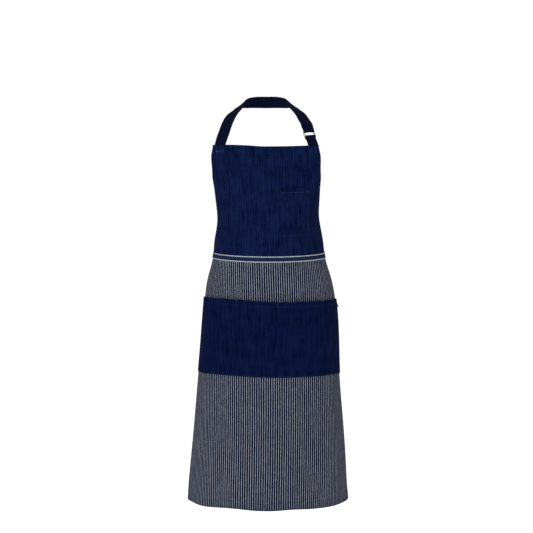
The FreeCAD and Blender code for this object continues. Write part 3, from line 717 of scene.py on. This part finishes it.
# ---- kangaroo pocket
def kangaroo_offset(u, z):
    k = KANGAROO
    rise = np.clip((z - k.bottom) / (k.top - k.bottom), 0, 1)
    across = np.cos(np.clip(np.abs(u) / k.right, 0, 1) * PI / 2)
    out = STANDOFF + 8.0 * np.sin(rise * PI / 2) ** 0.8 * across
    slack = np.sin(u / 17.0 + 0.7 * np.sin(z / 29.0)) * 0.5 + np.sin(u / 43.0 + z / 61.0) * 0.8
    out = out + slack * across * ease(rise * 3)
    out = out + 1.1 * bump(k.top - z, 9.0) * np.sin(u / 29.0 + 1.1) * across
    for d, along in ((k.right - np.abs(u), z), (z - k.bottom, u)):
        out = out + pucker(d - k.inset, along, 0.2, 5.0)
    return out + pucker(k.top - k.stitch - z, u, 0.22, 5.0)


k = KANGAROO
us, zs = pocket_spacing(k, 3.2, 3.4, (0.9, 2.7))
kangaroo = body_sheet("kangaroo_pocket_cloth", us, zs, kangaroo_offset, CLOTH, NAVY_POCKET, "bib_cloth",
                      "kangaroo_pocket")
us, zs = spaced(k.left + 1, k.right - 1, 3.2), spaced(k.top - 0.2, k.top - k.hem, 1.4)
kangaroo_fold = body_sheet("kangaroo_pocket_fold", us, zs, under(kangaroo_offset), TURNED_CLOTH, NAVY_POCKET,
                           "bib_cloth", "kangaroo_pocket_hem")


# ---- blank side tab
def side_tab():
    """A small folded tab: two layers joined by a round fold at the outer end."""
    reach, turn = np.linspace(0.9, 9.0, 9), np.linspace(0, PI, 7)
    out = np.concatenate([reach, 9.3 + 0.6 * np.sin(turn), reach[::-1]])[:, None]
    gap = np.concatenate([np.full(9, 0.55), 0.55 * np.cos(turn), np.full(9, -0.55)])[:, None]
    zs = np.linspace(TAB_TOP_Z, TAB_TOP_Z - TAB_TALL, 10)
    base, normal = surface(TAB_U, zs)
    side = unit(surface(TAB_U + 1.0, zs)[0] - base)
    lift = drape(TAB_U, zs)
    droop = 0.9 * np.sin((zs - TAB_TOP_Z) / TAB_TALL * 2.2)
    spread = mix(0.80, 1.15, np.clip((TAB_TOP_Z - zs) / TAB_TALL, 0, 1))
    P = base + normal * (out * spread + lift)[..., None] + side * (gap + out / 9.0 * droop)[..., None]
    around = np.linspace(0, PI, 25)[:, None, None]
    N = unit(side * np.cos(around) + normal * np.sin(around))
    UV = np.stack(np.broadcast_arrays(np.cumsum(np.full(25, 0.8))[:, None], zs[None]), -1)
    return sheet_object("side_tab_fold", P, N, UV, 0.5, TAB, "tab", "side_tab")


tab = side_tab()


# ---- straps
RING_T = unit(RING_UP)
RING_N = square_to(RING_OUT, RING_T)
RING_W = np.cross(RING_T, RING_N)
FOLD_HALF, FOLD_LOW, FOLD_ARCH, TAIL = 3.3, 12.9, 2.0, 85.0
RING_SPACING, LOOP_RADIUS, LEG_HALF = 5.2, 2.15, 0.85
STRAP_DEPTH = -3.0


def chest_u(x, z):
    """Arc length at which the chest's surface reaches x."""
    lo, hi = 0.0, 250.0
    for _ in range(40):
        mid = (lo + hi) / 2
        if abs(surface(math.copysign(mid, x), z)[0][0]) < abs(x):
            lo = mid
        else:
            hi = mid
    return math.copysign(lo, x)


def chest_points(rows, offset):
    """Points and normals this far off the chest, at each (x, z)."""
    found = [surface(chest_u(x, z), z) for x, z in rows]
    return [(point + normal * offset, normal) for point, normal in found]


def nape(side):
    """Points and normals from the middle of the nape down one side of the neck."""
    rows = np.array([
        ((0, 61, 7), (0, 0.98, 0.18)),
        ((24, 57, 7), (0.28, 0.93, 0.25)),
        ((46, 42, 5), (0.55, 0.66, 0.50)),
        ((62.6, 14, 0), (0.50, 0.22, 0.84)),
        ((67.5, -6, -9), (0.34, -0.12, 0.92)),
        ((81.6, -28, -24), (0.28, -0.42, 0.86)),
        ((90.8, -43.5, -39), (0.24, -0.62, 0.75)),
    ]) * [side, 1, 1]
    return [(point + [-1.2, 0, 0], normal) for point, normal in rows]


left = nape(-1) + [
    ((-97.9, -55.5, -53.5), (-0.26, -0.74, 0.62)),
    ((-103.0, -64.0, -69.0), (-0.28, -0.86, 0.42)),
    ((-108.6, -70.3, -85.0), (-0.34, -0.90, 0.26)),
]
left += chest_points(((-113.4, -98.0), (-115.4, -108.0), (-116.2, -117.5)), STRAP_DEPTH)
right = nape(1) + [(RING_BAR + RING_T * t, RING_N) for t in (32.0, 26.0, 20.0, 14.0, 8.0, 2.0, -4.0)]
right += chest_points(((112.2, -99.0), (114.0, -108.0), (115.0, -117.5)), RING_SPACING / 2 - LEG_HALF + STRAP_DEPTH)
stops = left[::-1] + right[1:]
stop_points = np.array([point for point, _ in stops])
stop_normals = unit([normal for _, normal in stops])
marks = run_length(stop_points)
dense_marks = np.linspace(0, marks[-1], 4000)
dense = spline(marks, stop_points)(dense_marks)
dense_length = run_length(dense)
LINE_LENGTH = dense_length[-1]
BAR_LENGTH = dense_length[np.argmin(np.linalg.norm(dense - RING_BAR, axis=1))]
dense_tangent = unit(np.gradient(dense, axis=0))


def strap_frame(t):
    """Centre, normal and width direction t mm above the ring bars, measured along the strap."""
    t = np.asarray(t, float)
    at = np.clip(BAR_LENGTH - t, 0, LINE_LENGTH)
    tangent = unit(at_marks(at, dense_length, dense_tangent))
    mark = np.interp(at, dense_length, dense_marks)
    straight = ((t >= -3) & (t <= 30))[..., None]
    centre = np.where(straight, RING_BAR + RING_T * t[..., None], at_marks(at, dense_length, dense))
    normal = np.where(straight, RING_N, square_to(at_marks(mark, marks, stop_normals), tangent))
    tangent = np.where(straight, -RING_T, tangent)
    return centre, normal, -np.cross(tangent, normal)


def respace(C, N, W, step, extra=None):
    """The same line with evenly spaced points."""
    L = run_length(C)
    at = np.linspace(0, L[-1], int(L[-1] / step) + 1)
    out = [at_marks(at, L, C), unit(at_marks(at, L, N)), unit(at_marks(at, L, W)), at]
    return out if extra is None else out + [at_marks(at, L, extra)]


def smooth_rows(A, times):
    for _ in range(times):
        B = A.copy()
        B[1:-1] = (A[:-2] + 2 * A[1:-1] + A[2:]) / 4
        A = B
    return unit(A)


def band(name, C, N, W, at, width, thickness, node, lift=None, cup=0.0, crimp=None):
    """A tape about the line C. lift(s) is a shift per point across it; crimp gathers its width and pleats it."""
    if crimp is None:
        s, gather = np.array([-1, -0.96, -0.85, -0.6, -0.3, 0, 0.3, 0.6, 0.85, 0.96, 1])[:, None], 1
    else:
        s, gather = np.linspace(-1, 1, 25)[:, None], 1 - 0.48 * crimp
    rise = cup * (s**2 - 0.35) + 0.12 * np.sin(at / 9.0) * s
    if crimp is not None:
        rise = rise + np.cos(s * 2.5 * PI + 0.6) * crimp * 1.1
    P = C + W * (s * width / 2 * gather)[..., None] + N * rise[..., None]
    if lift is not None:
        P = P + lift(s)
    UV = np.stack(np.broadcast_arrays(s * np.mean(width) / 2, at[None]), -1)
    return sheet_object(name, P, np.broadcast_to(N, P.shape), UV, thickness, WEB, "webbing", node)


def leg_offset(t):
    return mix(FOLD_HALF, 1.0, ease((t - 25.0) / 22.0))


# The long strap: down to the front ring, round the fold through its window, and up again behind.
t = np.arange(BAR_LENGTH, FOLD_LOW, -1.0)
C, N, W = strap_frame(t)
C = C + N * (leg_offset(t) * ease((FOLD_LOW + TAIL + 45.0 - t) / 40.0))[:, None]
angle = np.linspace(0, PI, 17)[:, None]
fold_out = RING_N * np.cos(angle) - RING_T * np.sin(angle)
fold_c = RING_BAR + RING_T * FOLD_LOW + fold_out * FOLD_HALF
t2 = np.arange(FOLD_LOW + 1.0, FOLD_LOW + TAIL, 1.0)
C2, N2, W2 = strap_frame(t2)
arch = np.concatenate([np.zeros((len(t), 1)), FOLD_ARCH * np.sin(angle) ** 2, np.zeros((len(t2), 1))])
above = np.concatenate([t, np.full(len(angle), FOLD_LOW), t2])[:, None]
C = np.concatenate([C, fold_c, C2 - N2 * leg_offset(t2)[:, None]])
W = -np.concatenate([W, np.broadcast_to(RING_W, fold_c.shape), W2])
C, N, W, at, extra = respace(C, np.concatenate([N, fold_out, -N2]), W, 1.1, np.concatenate([arch, above], 1))
width = mix(RING_GRIP, STRAP_WIDTH, ease((extra[:, 1] - FOLD_LOW) / 20.0))
neck = band("neck_strap_webbing", C, smooth_rows(N, 2), smooth_rows(W, 6), at, width, 1.3, "neck_strap",
            lambda s: RING_T * ((1 - s**2) * extra[:, 0])[..., None])

# The short strap: up from the bib, over both rings' bars and back down behind itself.
front_leg, back_leg = -RING_SPACING / 2 + LEG_HALF, -RING_SPACING / 2 - LEG_HALF
t = np.arange(BAR_LENGTH - LINE_LENGTH, 0, 0.8)
C1, N1, W1 = strap_frame(t)
C1 = C1 + N1 * mix(LOOP_RADIUS, front_leg, ease(-t / 10.0))[:, None]
arcs_c, arcs_n = [], []
for bar, start in ((0.0, 0), (-RING_SPACING, 1)):
    angle = PI / 2 * (start + np.linspace(0, 1, 9))[:, None]
    outward = RING_N * np.cos(angle) + RING_T * np.sin(angle)
    arcs_c.append(RING_BAR + RING_N * bar + outward * LOOP_RADIUS)
    arcs_n.append(outward)
C3, N3, W3 = strap_frame(t[::-1])
C3 = C3 + N3 * mix(-RING_SPACING - LOOP_RADIUS, back_leg, ease(-t[::-1] / 10.0))[:, None]
W = np.concatenate([W1, np.broadcast_to(RING_W, (18, 3)), W3])
above = np.concatenate([t, np.zeros(18), t[::-1]])[:, None]
C, N, W, at, above = respace(np.concatenate([C1, *arcs_c, C3]), np.concatenate([N1, *arcs_n, -N3]), W, 0.9, above)
width = mix(RING_GRIP, RING_STRAP_WIDTH, ease(-above[:, 0] / 8.0))
loop_strap = band("ring_strap_webbing", C, smooth_rows(N, 1), smooth_rows(W, 4), at, width, 1.2, "ring_strap")


# ---- D-rings
def d_ring(name, depth, body, node):
    """A round wire bent to a D, with the butt joint where its ends meet in the bar."""
    half, corner, arm, wire, gap, sides = 13.9, 1.8, 8.5, 0.75, 0.12, 20
    bend = np.linspace(0, PI / 2, 8)[1:]
    path = [(x, 0.0) for x in np.linspace(gap, half - corner, 12)]
    path += [(half - corner + corner * math.sin(a), corner - corner * math.cos(a)) for a in bend]
    path += [(half, y) for y in np.linspace(corner, arm, 5)[1:]]
    path += [(half * math.cos(a), arm + half * math.sin(a)) for a in np.linspace(0, PI, 49)[1:25]]
    path += [(-x, y) for x, y in path[-2::-1]]
    flat = np.array(path)
    P = RING_BAR + RING_N * depth + RING_W * flat[:, :1] + RING_T * flat[:, 1:]
    B = np.cross(unit(np.gradient(P, axis=0)), RING_N)[:, None]
    turn = (np.arange(sides) * 2 * PI / sides)[:, None]
    size = np.full((len(P), 1, 1), wire)
    size[[0, -1]] = wire * 0.86
    verts = (P[:, None] + size * (RING_N * np.cos(turn) + B * np.sin(turn))).reshape(-1, 3)
    faces = tube_faces(len(P), sides)
    a, b, c, _ = (verts[i] for i in faces[0])
    if np.dot(np.cross(b - a, c - a), a - P[0]) < 0:
        faces = [f[::-1] for f in faces]
    uvs = np.repeat(np.stack([np.arange(len(P)), np.zeros(len(P))], -1), sides, 0)
    return add_object(name, verts, faces, uvs, METAL, "ring_metal", node, body)


d_ring("front_ring_wire", 0.0, "front_ring", "front_d_ring")
d_ring("back_ring_wire", -RING_SPACING, "back_ring", "back_d_ring")


# ---- waist ties and bow
tie_end = float(arc_length(np.array(PI), np.array(TIE_Z))) - 14.0
KNOT_Z = TIE_Z + 7.0
section = SECTION(-KNOT_Z)
knot = np.array([section[3], section[2] + 11.0, KNOT_Z])


def tie_band(name, C, N, W, at, node, crimp, cup=0.0):
    return band(name, C, N, W, at, TIE_WIDTH, TIE_THICKNESS, node, cup=cup, crimp=crimp)


us = np.linspace(TIE_START, tie_end + 3.0, 60)
for side, word in SIDES:
    C, N = surface(side * us, TIE_Z)
    out = mix(-2.1, 3.5, ease((us - 332.0) / (tie_end - 332.0)))
    C = C + N * (out + drape(side * us, TIE_Z) * ease((345 - us) / 15))[:, None]
    W = np.broadcast_to([0, 0, 1.0], C.shape)
    crimp = ease((us - (tie_end - 20)) / 22)
    tie_band("waist_tie_tape_" + word, C, N, W, us - TIE_START, "waist_tie_" + word, crimp)

for side, word in SIDES:
    drop = math.radians(24.0)
    outward = np.array([side * math.cos(drop), 0, -math.sin(drop)])
    upward = np.array([side * math.sin(drop), 0, math.cos(drop)])
    start = knot + [0, 6.0, 0] + outward * 9.0
    turn = np.linspace(0, 2 * PI, 121)
    along = LOOP_REACH * np.sin(turn / 2) ** 0.9
    depth = -7.5 * np.sin(turn) * (0.35 + 0.65 * np.sin(turn / 2)) - 1.3 * np.cos(turn / 2)
    C = start + outward * along[:, None] + depth[:, None] * [0, 1.0, 0]
    C = C - upward * (3.0 * (along / LOOP_REACH) ** 2)[:, None]
    N = unit(np.cross(upward, unit(np.gradient(C, axis=0)))) * side
    W = unit(upward + outward * (0.10 * np.sin(turn))[:, None])
    C, N, W, at = respace(C, N, W, 1.2)
    crimp = 1 - ease(np.minimum(at, at[-1] - at) / 26.0)
    tie_band("bow_loop_tape_" + word, C, N, W, at, "bow_loop_" + word, crimp, 0.6)

fall = np.linspace(0, 1, 121)
z = knot[2] - 11.0 - TAIL_FALL * fall
here = SECTION(-z)
for side, word in SIDES:
    x = here[:, 3] + side * (5.0 + 17.0 * fall) + 2.0 * np.sin(5.0 * fall + side)
    y = mix(knot[1] - 3.5 + 1.5 * side, here[:, 2] + 5.0 + 3.0 * side, ease(fall * 2.0)) + 2.0 * np.sin(7.0 * fall)
    C = np.stack([x, y, z], -1)
    T = unit(np.gradient(C, axis=0))
    twist = 0.12 * side + 0.22 * np.sin(3.2 * fall + side)
    W = square_to(np.stack([np.ones(121), twist, np.zeros(121)], -1), T)
    C, N, W, at = respace(C, -np.cross(W, T), W, 1.6)
    tie_band("bow_tail_tape_" + word, C, N, W, at, "bow_tail_" + word, 1 - ease(at / 34.0), 0.5)


def bow_knot():
    """The tape wrapped once round the crossing, drawn in at the middle, with pleats running over it."""
    rows, sides, lean = 49, 72, 0.18
    lat = np.linspace(-PI / 2, PI / 2, rows)[:, None]
    lon = (np.arange(sides) * 2 * PI / sides)[None]
    pleat = 1 + 0.055 * np.sin(lat * 9.0 + 0.9 * np.sin(lon * 2)) + 0.03 * np.sin(lat * 17 + lon)
    x = 12.0 * np.sign(np.cos(lat)) * np.abs(np.cos(lat)) ** 0.62 * np.cos(lon) * pleat
    y = 8.0 * np.abs(np.cos(lat)) ** 0.62 * np.sin(lon) * pleat
    z = 13.2 * np.sin(lat) * (1 - 0.10 * np.cos(lon) ** 2)
    x, z = x * math.cos(lean) - z * math.sin(lean), x * math.sin(lean) + z * math.cos(lean)
    verts = np.stack([x, y, z], -1).reshape(-1, 3) + knot
    uvs = np.stack(np.broadcast_arrays(lat * 13, lon * 10), -1).reshape(-1, 2)
    return add_object("bow_knot_wrap", verts, tube_faces(rows, sides), uvs, WEB, "webbing", "bow_knot")


bow_knot()


# ---- sewn lines
def pocket_lines(p, rise=lambda u, z: 0.0):
    """The sewn line down a pocket's left side, along its bottom and up its right side."""
    left, right, low, top = p.left + p.inset, p.right - p.inset, p.bottom + p.inset, p.top - 1
    runs = [line((left, top), (left, low)), line((left, low), (right, low)), line((right, low), (right, top))]
    return [(q[:, 0], q[:, 1] + rise(*q.T)) for q in runs]


zs = np.linspace(BIB_TOP_Z - 4.0, SEAM_Z + 9.0, 160)
share = np.linspace(-0.985, 0.985, 160)
bib_thread = thread_object("bib_seam_thread", [
    seam(bib_half(stitch_z) * share, stitch_z - bib_drop(stitch_z, share), bib_ripple),
    *(seam(side * (bib_half(zs) - EDGE_STITCH), zs, bib_ripple) for side, _ in SIDES)], NAVY_THREAD)

p = CHEST
runs = [seam(*q, chest_offset) for q in pocket_lines(p, chest_rise)]
chest_thread = thread_object("chest_pocket_thread", runs, NAVY_THREAD)
us, zs = line((p.left + 3, p.top - p.stitch), (p.right - 3, p.top - p.stitch)).T
runs = [seam(us, zs + chest_rise(us, zs), chest_offset)]
chest_hem_thread = thread_object("chest_pocket_hem_thread", runs, PALE_THREAD, length=2.6, radius=0.28)
runs = [seam(np.linspace(-328, 328, 400), TAPE_STITCH_Z, tape_offset)]
tape_thread = thread_object("waist_tape_thread", runs, PALE_THREAD)
zs = np.linspace(SEAM_Z - 8, HEM_Z + 3, 300)
skirt_thread = thread_object("skirt_seam_thread", [
    seam(np.linspace(-326, 326, 400), HEM_Z + HEM_STITCH, skirt_ripple),
    *(seam(side * (CLOTH_HALF - EDGE_STITCH), zs, skirt_ripple) for side, _ in SIDES)], NAVY_THREAD)
k = KANGAROO
edge, height = k.right - k.inset, k.top - k.stitch
runs = pocket_lines(k) + [line((-edge, height), (edge, height)).T]
kangaroo_thread = thread_object("kangaroo_pocket_thread", [seam(*q, kangaroo_offset) for q in runs], NAVY_THREAD)

for u, word in ((p.left + 6.2, "left"), (p.right - 6.2, "right")):
    z = p.top - 2.6
    bar_tack("chest_pocket_tack_" + word, "chest_pocket_bartack_" + word, u, z + chest_rise(u, z), 10.0, 3.2,
             chest_offset, 0.30)
for side, word in SIDES:
    bar_tack("kangaroo_tack_" + word, "kangaroo_bartack_" + word, side * (k.right - 6.0), k.top - 4.0, 9.0, 2.8,
             kangaroo_offset, 0.26)


def sewn_square(name, us, zs, offset, lift, node, material):
    """Two rows round a rectangle and a cross inside it."""
    (u0, u1), (z0, z1) = us, zs
    rows = []
    for inset in (0.0, 1.6):
        a, b, c, d = u0 + inset, u1 - inset, z0 - inset, z1 + inset
        rows += [((a, c), (b, c)), ((b, c), (b, d)), ((b, d), (a, d)), ((a, d), (a, c))]
    rows += [((u0, z0), (u1, z1)), ((u0, z1), (u1, z0))]
    runs = [seam(*line(*ends).T, offset, lift) for ends in rows]
    thread_object(name, runs, material, node, pitch=2.6, length=2.2, radius=0.22)


for x, word, material in ((-115.4, "left", WORN_THREAD), (114.0, "right", NAVY_THREAD)):
    us = sorted(chest_u(math.copysign(abs(x) + reach, x), -102.0) for reach in (-10.6, 8.0))
    sewn_square("strap_sewn_square_" + word, us, (-102.4, -114.6), bib_ripple, CLOTH / 2 + 0.05,
                "strap_stitch_box_" + word, material)
for side, word in SIDES:
    us = sorted((side * (CLOTH_HALF - 5.0), side * (CLOTH_HALF - 23.0)))
    sewn_square("tie_sewn_square_" + word, us, (TIE_Z + 10.0, TIE_Z - 10.0), lambda u, z: 1.55, 0.0,
                "tie_bartack_" + word, NAVY_THREAD)


# ---- stage, light and camera
def white_floor():
    mesh = bpy.data.meshes.new("floor")
    r, z, n = 14.0, -1.25, 96
    ring = [(r * math.cos(2 * PI * i / n), r * math.sin(2 * PI * i / n), z) for i in range(n)]
    mesh.from_pydata(ring, [], [tuple(range(n))])
    s = Shader("pale_floor")
    s.bsdf.inputs["Emission Color"].default_value = (1, 1, 1, 1)
    s.bsdf.inputs["Emission Strength"].default_value = 0.55
    s.finish(s.blend(s.solid_noise(s.place(), 3.0), (0.93, 0.93, 0.93), (0.95, 0.95, 0.95)), 0.9, specular=0.0)
    mesh.materials.append(s.material)
    linked("floor", mesh)


def white_room(glow):
    """A white surround that looks fully white but lights the cloth more softly."""
    world = bpy.data.worlds.new("studio")
    world.use_nodes = True
    tree = world.node_tree
    background = tree.nodes["Background"]
    background.inputs[0].default_value = (1, 1, 1, 1)
    seen = tree.nodes.new("ShaderNodeLightPath")
    strength = tree.nodes.new("ShaderNodeMapRange")
    strength.inputs[3].default_value = glow
    strength.inputs[4].default_value = 1.0
    tree.links.new(seen.outputs["Is Camera Ray"], strength.inputs[0])
    tree.links.new(strength.outputs[0], background.inputs[1])
    bpy.context.scene.world = world


def soft_light(name, place, aim, size, power):
    lamp = bpy.data.lights.new(name, "AREA")
    lamp.shape, lamp.size, lamp.energy = "SQUARE", size, power
    obj = linked(name, lamp)
    obj.location = place
    obj.rotation_euler = (Vector(aim) - Vector(place)).to_track_quat("-Z", "Y").to_euler()


white_floor()
white_room(0.55)
soft_light("key", (-1.2, -3.5, 1.2), (0, 0, -0.45), 1.6, 95.0)
soft_light("fill", (2.8, -3.2, 0.2), (0, 0, -0.5), 2.2, 11.0)

TILT, DISTANCE = math.radians(4.3), 3.8
lens = bpy.data.cameras.new("camera")
lens.sensor_width, lens.lens, lens.clip_end = 36.0, 104.8, 100.0
camera = linked("camera", lens)
camera.location = (-0.0012, -DISTANCE * math.cos(TILT), -0.3945 + DISTANCE * math.sin(TILT))
camera.rotation_euler = (PI / 2 - TILT, 0, 0)
bpy.context.scene.camera = camera
view = bpy.context.scene.view_settings
view.view_transform, view.look, view.exposure, view.gamma = "Standard", "None", 0.0, 1.0

bpy.context.view_layer.update()
